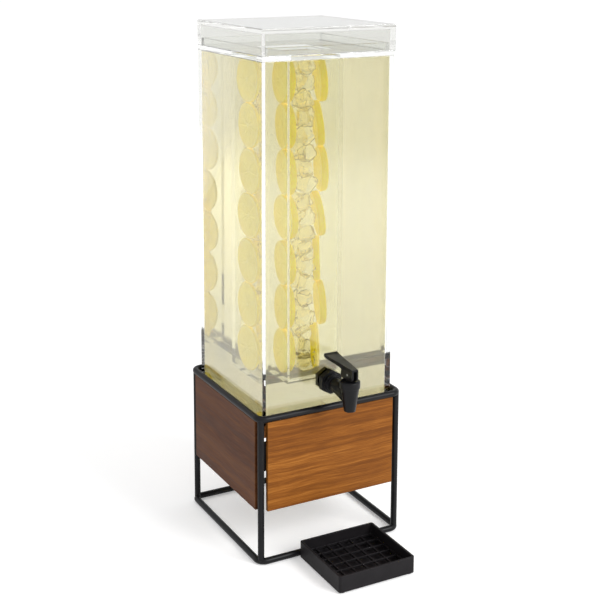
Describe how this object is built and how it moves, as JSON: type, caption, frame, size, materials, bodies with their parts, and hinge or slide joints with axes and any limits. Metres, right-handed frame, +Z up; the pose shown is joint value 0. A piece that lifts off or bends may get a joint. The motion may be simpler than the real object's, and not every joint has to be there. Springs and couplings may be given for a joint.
{
  "type": "beverage dispenser",
  "caption": "Tall square clear acrylic beverage dispenser with an ice chamber, a lift-off lid, a black lever faucet, a wire stand with wood panels and a drip tray.",
  "frame": {"origin": "centre of the stand footprint on the counter", "axes": "+Z up, the faucet and drip tray face -Y, +X to the right of a person facing the faucet"},
  "size_m": [0.2022, 0.2985, 0.6416],
  "materials": {
    "clear_acrylic": "clear, polished",
    "black_steel": "satin black powder coat",
    "stained_wood": "stained and sealed, satin",
    "zinc_steel": "bright zinc",
    "silicone": "matt",
    "tray_plastic": "fine moulded texture",
    "faucet_plastic": "satin moulded"
  },
  "bodies": {
    "stand": {"back_panel": "stained_wood", "back_panel_tab_a": "black_steel", "back_panel_tab_b": "black_steel", "back_tank_strap": "black_steel", "bottom_ring": "black_steel", "front_panel": "stained_wood", "front_panel_tab_a": "black_steel", "front_panel_tab_b": "black_steel", "front_tank_strap": "black_steel", "left_panel": "stained_wood", "left_panel_tab_a": "black_steel", "left_panel_tab_b": "black_steel", "leg_back_left": "black_steel", "leg_back_right": "black_steel", "leg_front_left": "black_steel", "leg_front_right": "black_steel", "panel_screws": "zinc_steel", "right_panel": "stained_wood", "right_panel_tab_a": "black_steel", "right_panel_tab_b": "black_steel", "top_ring": "black_steel"},
    "tank": {"tank_back_wall": "clear_acrylic", "tank_floor": "clear_acrylic", "tank_front_wall": "clear_acrylic", "tank_left_wall": "clear_acrylic", "tank_right_wall": "clear_acrylic", "faucet_body": "faucet_plastic", "collar_nut": "faucet_plastic", "outer_washer": "silicone", "inner_washer": "silicone", "lock_nut": "faucet_plastic", "bonnet": "faucet_plastic", "valve_spring": "zinc_steel"},
    "ice_chamber": {"ice_chamber_back_wall": "clear_acrylic", "ice_chamber_flange": "clear_acrylic", "ice_chamber_floor": "clear_acrylic", "ice_chamber_front_wall": "clear_acrylic", "ice_chamber_left_wall": "clear_acrylic", "ice_chamber_right_wall": "clear_acrylic", "flange_rim": "clear_acrylic"},
    "lid": {"lid_back_skirt": "clear_acrylic", "lid_front_skirt": "clear_acrylic", "lid_left_skirt": "clear_acrylic", "lid_right_skirt": "clear_acrylic", "lid_top": "clear_acrylic"},
    "valve_stem": {"valve_stem": "faucet_plastic", "seat_cup": "silicone"},
    "faucet_handle": {"faucet_handle": "faucet_plastic", "handle_pin": "zinc_steel"},
    "drip_tray": {"drip_tray": "tray_plastic"},
    "drip_grid": {"drip_grid": "tray_plastic"}
  },
  "joints": [
    {"name": "tank_lift", "type": "slide", "parent": "stand", "child": "tank", "axis": [0, 0, 1], "range_m": [0, 0.03]},
    {"name": "ice_chamber_lift", "type": "slide", "parent": "tank", "child": "ice_chamber", "axis": [0, 0, 1], "range_m": [0, 0.42]},
    {"name": "lid_lift", "type": "slide", "parent": "ice_chamber", "child": "lid", "axis": [0, 0, 1], "range_m": [0, 0.1]},
    {"name": "stem_lift", "type": "slide", "parent": "tank", "child": "valve_stem", "axis": [0, 0, 1], "range_m": [0, 0.005], "deforming": ["valve_spring"]},
    {"name": "handle_tilt", "type": "hinge", "parent": "valve_stem", "child": "faucet_handle", "pos_m": [0, -0.14, 0.238], "axis": [1, 0, 0], "range_deg": [0, 50], "stiffness_Nm_per_rad": 0.05, "springref_deg": -28.65},
    {"name": "drip_tray_lift", "type": "slide", "parent": "stand", "child": "drip_tray", "axis": [0, 0, 1], "range_m": [0, 0.04]},
    {"name": "drip_grid_lift", "type": "slide", "parent": "drip_tray", "child": "drip_grid", "axis": [0, 0, 1], "range_m": [0, 0.04]}
  ],
  "couplings": [
    {"joint": "stem_lift", "follows": "handle_tilt", "m_per_rad": 0.005}
  ]
}
